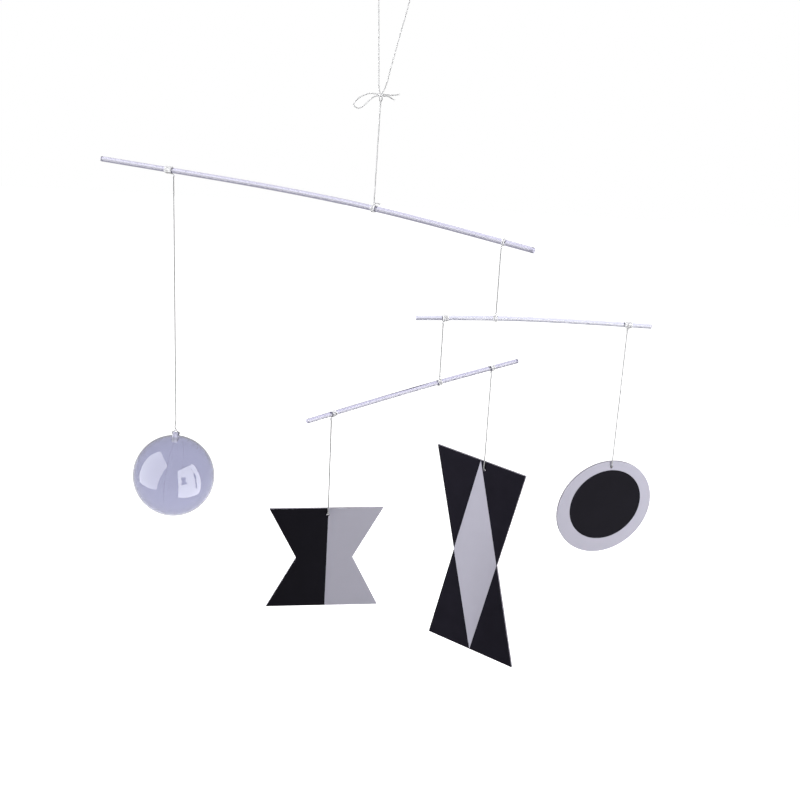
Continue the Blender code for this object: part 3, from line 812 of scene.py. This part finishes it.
def makeHalfShell(side):
    rim = side * ball["gap"] / 2
    inner = ball["radius"] - ball["wall"]
    outside = addSkin(ball["radius"], rim, side)
    inside = addSkin(inner, rim, side)
    bpy.ops.object.select_all(action="DESELECT")
    outside.select_set(True)
    bpy.context.view_layer.objects.active = outside
    bpy.ops.object.mode_set(mode="EDIT")
    selectRing(outside.data, rim)
    stepRing(ringRadius(inner, rim) / ringRadius(ball["radius"], rim), 0)
    bpy.ops.object.mode_set(mode="OBJECT")
    inside.select_set(True)
    bpy.ops.object.join()
    bpy.ops.object.mode_set(mode="EDIT")
    bpy.ops.mesh.select_all(action="SELECT")
    bpy.ops.mesh.remove_doubles(threshold=0.00003)
    bpy.ops.mesh.normals_make_consistent(inside=False)
    bpy.ops.object.mode_set(mode="OBJECT")
    return outside


def makeTab(side):
    head = ball["tabHead"]
    middle = ball["radius"] + ball["tabHeight"] - head
    root = ball["radius"] - ball["wall"] * 0.67
    place = side * (ball["tabThick"] + ball["gap"]) / 2
    bpy.ops.object.select_all(action="DESELECT")
    bpy.ops.mesh.primitive_cylinder_add(vertices=48, radius=head, depth=ball["tabThick"],
                                        location=(place, 0, middle), rotation=(0, math.pi / 2, 0))
    tab = bpy.context.object
    bpy.ops.object.transform_apply(location=True, rotation=True, scale=True)
    bpy.ops.object.mode_set(mode="EDIT")
    bpy.ops.mesh.select_all(action="SELECT")
    bpy.ops.mesh.bisect(plane_co=(0, 0, middle), plane_no=(0, 0, 1), use_fill=True, clear_inner=True)
    bpy.ops.mesh.select_all(action="DESELECT")
    bpy.ops.mesh.select_mode(type="FACE")
    bpy.ops.object.mode_set(mode="OBJECT")
    for face in tab.data.polygons:
        face.select = face.normal.z < -0.9 and abs(face.center.z - middle) < 1e-6
    bpy.ops.object.mode_set(mode="EDIT")
    bpy.ops.mesh.extrude_region_move(TRANSFORM_OT_translate={"value": (0, 0, root - middle)})
    bpy.ops.transform.resize(value=(1, ball["tabWidth"] / 2 / head, 1), center_override=(place, 0, root))
    bpy.ops.object.mode_set(mode="OBJECT")
    bpy.ops.mesh.primitive_cylinder_add(
        vertices=32, radius=ball["eyelet"] / 2, depth=ball["tabThick"] * 2, rotation=(0, math.pi / 2, 0),
        location=(place, 0, ball["radius"] + ball["tabHeight"] - ball["eyeletDepth"]))
    drill = bpy.context.object
    applyBoolean(tab, drill, "DIFFERENCE")
    edge = tab.modifiers.new("softEdge", "BEVEL")
    edge.width = 0.00025
    edge.segments = 2
    edge.limit_method = "ANGLE"
    edge.angle_limit = math.radians(50)
    bpy.ops.object.select_all(action="DESELECT")
    tab.select_set(True)
    bpy.context.view_layer.objects.active = tab
    bpy.ops.object.modifier_apply(modifier=edge.name)
    return tab


def applyBoolean(target, other, operation):
    modifier = target.modifiers.new("cut", "BOOLEAN")
    modifier.operation = operation
    modifier.solver = "EXACT"
    modifier.object = other
    bpy.ops.object.select_all(action="DESELECT")
    target.select_set(True)
    bpy.context.view_layer.objects.active = target
    bpy.ops.object.modifier_apply(modifier=modifier.name)
    bpy.data.objects.remove(other)


def ballPlace():
    # Turn of the leaning ball, its middle and the way up through its tab
    rod = rods["top_rod"]
    lean = Matrix.Rotation(ball["lean"], 4, "Y")
    up = lean.to_3x3() @ Vector((0, 0, 1))
    reach = ball["radius"] + ball["tabHeight"] + ball["loopRise"] + thread["knotHeight"] + thread["gap"]
    center = rodPoint(rod, -rod["leftTie"]) - Vector((reach * up.x, 0, ball["drop"]))
    return lean @ Matrix.Rotation(ball["seamYaw"], 4, "Z"), center, up


def makeBall(shellMaterial, tabMaterial):
    turn, center, up = ballPlace()
    for name, side in (("ball_left_half", -1), ("ball_right_half", 1)):
        half = makeHalfShell(side)
        applyBoolean(half, makeTab(side), "UNION")
        half.name = name + "_shell"
        half.data.name = name + "_shell"
        half.data.materials.clear()
        half.data.materials.append(shellMaterial)
        half.data.materials.append(tabMaterial)
        for face in half.data.polygons:
            face.material_index = int(face.center.length > ball["radius"] + 0.0002)
        half.data.transform(Matrix.Translation(center) @ turn)
        bpy.ops.object.shade_smooth_by_angle(angle=math.radians(30))
        settlePiece(half, [name])
        print("half shell", name, len(half.data.polygons))


def makeBallString(model, material):
    rod = rods["top_rod"]
    along = -rod["leftTie"]
    turn, center, up = ballPlace()
    across = turn.to_3x3() @ Vector((1, 0, 0))
    tabTop = center + up * (ball["radius"] + ball["tabHeight"])
    rise, reach = ball["loopRise"], ball["loopRadius"]
    knotMiddle = tabTop + up * (rise + thread["knotHeight"] / 2)
    knots = [makeTieKnot("ball_string", rod, along, thread["knotWidth"], model, material, 0.3),
             makeKnot("ball_eyelet_knot_tied", model, knotMiddle, up, ball["knotWidth"],
                      thread["knotHeight"], material, ["ball_eyelet_knot"], 1.4)]
    under = rise - thread["gap"] - thread["diameter"] / 2
    rightLeg = [(reach * 0.35, under * 1.6), (reach * 0.65, under), (reach * 0.93, rise * 0.32)]
    bottom = []
    for i in range(13):
        angle = -math.pi * i / 12
        bottom.append((reach * math.cos(angle), ball["loopDepth"] * math.sin(angle)))
    leftLeg = [(-x, z) for x, z in reversed(rightLeg)]
    loop = [tabTop + across * x + up * z for x, z in rightLeg + bottom + leftLeg]
    start = tieLine("ball_string", rod, along)
    straight = [start[-1].lerp(knotMiddle, i / 24) for i in range(1, 25)]
    makeThread("ball_string_thread", start + smoothLine(straight + loop), material,
               ["ball_string", "ball_string_winding", "ball_eyelet_loop"],
               tieFoot("ball_string", rod, along))


# Cards: flat board, printed black and white, with the thread in at a hole and knotted behind

cards = {
    "long_card": {"rod": "lower_rod", "along": 0.060, "drop": 0.1041, "yaw": -36.1, "swing": 0.96,
                  "width": 0.099, "waist": 0.0495, "height": 0.2068, "inset": 0.0087, "side": 0.0044,
                  "blackPaintedShade": 1.0},
    "bow_tie_card": {"rod": "lower_rod", "along": -0.1153, "drop": 0.0974, "yaw": 9.5, "swing": -1.0,
                     "width": 0.099, "waist": 0.0495, "height": 0.0985, "inset": 0.0062, "side": 0.0013,
                     "split": 0.0020, "splitSlope": -0.008, "blackPaintedShade": 0.45},
    "disc_card": {"rod": "middle_rod", "along": 0.1165, "drop": 0.1402, "yaw": 20.1, "swing": 0.0,
                  "height": 0.0936, "inset": 0.0058, "side": 0.0029,
                  "spot": 0.07066, "spotPlace": (0.0008, 0.0024), "blackPaintedShade": 0.40},
}
board = {"thickness": 0.002, "edgeWaver": 0.00006, "printDepth": (0.00078, 0.00086)}


def cardPlace(card):
    yaw = math.radians(card["yaw"])
    back = Vector((-math.sin(yaw), math.cos(yaw), 0))
    turnIn = rodPoint(rods[card["rod"]], card["along"]) + down * card["drop"]
    hole = turnIn + back * (thread["diameter"] / 2 + thread["gap"] + board["thickness"] / 2)
    turn = Euler((0, -math.radians(card["swing"]), yaw))
    middle = hole - turn.to_matrix() @ Vector((card["side"], 0, card["height"] / 2 - card["inset"]))
    return turnIn, back, hole, middle, turn


def printedArea(name, card, nodes, links, across, rise):
    # Above zero where the card is white
    if name == "long_card":
        wide, high = (addMath(nodes, links, "ABSOLUTE", way) for way in (across, rise))
        wide = addMath(nodes, links, "DIVIDE", wide, card["waist"] / 2)
        high = addMath(nodes, links, "DIVIDE", high, card["height"] / 2)
        left = addMath(nodes, links, "SUBTRACT", 1.0, addMath(nodes, links, "ADD", wide, high))
        return addMath(nodes, links, "MULTIPLY", left, card["waist"] / 2)
    if name == "bow_tie_card":
        line = addMath(nodes, links, "MULTIPLY", rise, card["splitSlope"])
        line = addMath(nodes, links, "ADD", line, card["split"])
        return addMath(nodes, links, "SUBTRACT", across, line)
    sideways = addMath(nodes, links, "SUBTRACT", across, card["spotPlace"][0])
    upward = addMath(nodes, links, "SUBTRACT", rise, card["spotPlace"][1])
    square = addMath(nodes, links, "ADD", addMath(nodes, links, "MULTIPLY", sideways, sideways),
                     addMath(nodes, links, "MULTIPLY", upward, upward))
    return addMath(nodes, links, "SUBTRACT", addMath(nodes, links, "SQRT", square), card["spot"] / 2)


def makeCardMaterial(name):
    card = cards[name]
    finish, nodes, links, shader = newMaterial(name + "_print")
    middle, turn = cardPlace(card)[3:]
    own = addMapping(nodes, links, "Object", (1, 1, 1), middle, turn)
    split = nodes.new("ShaderNodeSeparateXYZ")
    links.new(own, split.inputs[0])
    white = printedArea(name, card, nodes, links, split.outputs["X"], split.outputs["Z"])
    waver = addNoise(nodes, links, own, 900.0, 2.0)
    waver = addRange(nodes, links, waver, 0.2, 0.8, -board["edgeWaver"], board["edgeWaver"])
    share = addRange(nodes, links, addMath(nodes, links, "ADD", white, waver), -0.00008, 0.00008, 0, 1)
    grain = addNoise(nodes, links, own, 2600.0, 4.0)
    mottle = addNoise(nodes, links, own, 60.0, 3.0)
    # each card's black is scaled by its own factor: painted shade that offsets how the lamps light and
    # reflect on that card
    black, pale = tuple(value * card["blackPaintedShade"] for value in tones["cardBlack"]), tones["cardWhite"]
    tone = addRange(nodes, links, mottle, 0.3, 0.7, 0, 1)
    blackTone = addBlend(nodes, links, tone, black, tuple(value * 1.25 for value in black))
    whiteTone = addBlend(nodes, links, tone, tuple(value * 0.97 for value in pale), pale)
    printed = addBlend(nodes, links, share, blackTone, whiteTone)
    depth = addMath(nodes, links, "ABSOLUTE", split.outputs["Y"])
    face = addRange(nodes, links, depth, *board["printDepth"], 0, 1)
    layers = addNoise(nodes, links, addMapping(nodes, links, "Object", (300, 300, 300)), 8.0)
    core = addBlend(nodes, links, layers, tones["cardCore"], tuple(v * 1.4 for v in tones["cardCore"]))
    links.new(addBlend(nodes, links, face, core, printed), shader.inputs["Base Color"])
    links.new(addRange(nodes, links, grain, 0.3, 0.7, 0.52, 0.64), shader.inputs["Roughness"])
    shader.inputs["Specular IOR Level"].default_value = 0.02
    addBump(nodes, links, grain, shader, 0.12, 0.00005)
    return finish


def dressCard(name):
    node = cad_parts[name]
    node.data.materials.clear()
    node.data.materials.append(makeCardMaterial(name))
    for face in node.data.polygons:
        face.material_index = 0


def makeCardString(name, model, material, spin):
    card = cards[name]
    rod = rods[card["rod"]]
    string = name + "_string"
    turnIn, back, hole = cardPlace(card)[:3]
    knots = [makeTieKnot(string, rod, card["along"], thread["knotWidth"], model, material, spin)]
    behind = hole + back * (board["thickness"] / 2 + thread["gap"] + thread["knotHeight"] / 2)
    knots.append(makeKnot(name + "_end_knot_tied", model, behind, back, thread["cardKnotWidth"],
                          thread["knotHeight"], material, [name + "_end_knot"], spin + 0.7))
    start = tieLine(string, rod, card["along"])
    bend = thread["bendRadius"]
    route = [turnIn + Vector((0, 0, bend * 3))]
    for i in range(7):
        angle = math.pi / 2 * i / 6
        route.append(turnIn + back * bend * (1 - math.cos(angle))
                     + Vector((0, 0, bend * (1 - math.sin(angle)))))
    route.append(behind)
    straight = [start[-1].lerp(route[0], i / 18) for i in range(1, 18)]
    makeThread(name + "_thread", start + smoothLine(straight + route), material,
               [string, string + "_winding"], tieFoot(string, rod, card["along"]))


addCamera()
hangRods()
threadMaterial = makeThreadMaterial()
knotModel = knotMesh()
makeBow(knotModel, threadMaterial)
makeMainThread(knotModel, threadMaterial)
makeRodString("middle_rod", knotModel, threadMaterial, 0.2)
makeRodString("lower_rod", knotModel, threadMaterial, 0.8)
makeBallString(knotModel, threadMaterial)
makeCardString("long_card", knotModel, threadMaterial, 0.5)
makeCardString("bow_tie_card", knotModel, threadMaterial, 1.1)
makeCardString("disc_card", knotModel, threadMaterial, 1.7)
bpy.data.meshes.remove(knotModel)

# the sawn ends' tint is darkened as painted shade at each rod's end
sawnEnd = makeClearMaterial("sawnRodEnd", tones["sawnEnd"], 0.45, (900, 900, 900), 0.4, 0.0001,
                            clear=0.3)
for rodName in rods:
    # the rods' tints hold painted light and painted shade, set per rod
    rodTone = rods[rodName]["tone"]
    makeRod(rodName, makeClearMaterial(rodName + "_clear", rodTone, 0.05, (25, 5000, 1), 0.10,
                                       0.00003, "UV"), sawnEnd)
# the shell and tab tints hold painted light: the dim room as seen through them
makeBall(makeClearMaterial("clearShell", tones["shell"], 0.02, (40, 40, 40), 0.15, 0.0004),
         makeClearMaterial("clearTab", tones["tab"], 0.08, (90, 90, 90), 0.12, 0.0002, clear=0.55))
for cardName in cards:
    dressCard(cardName)
addStudio()
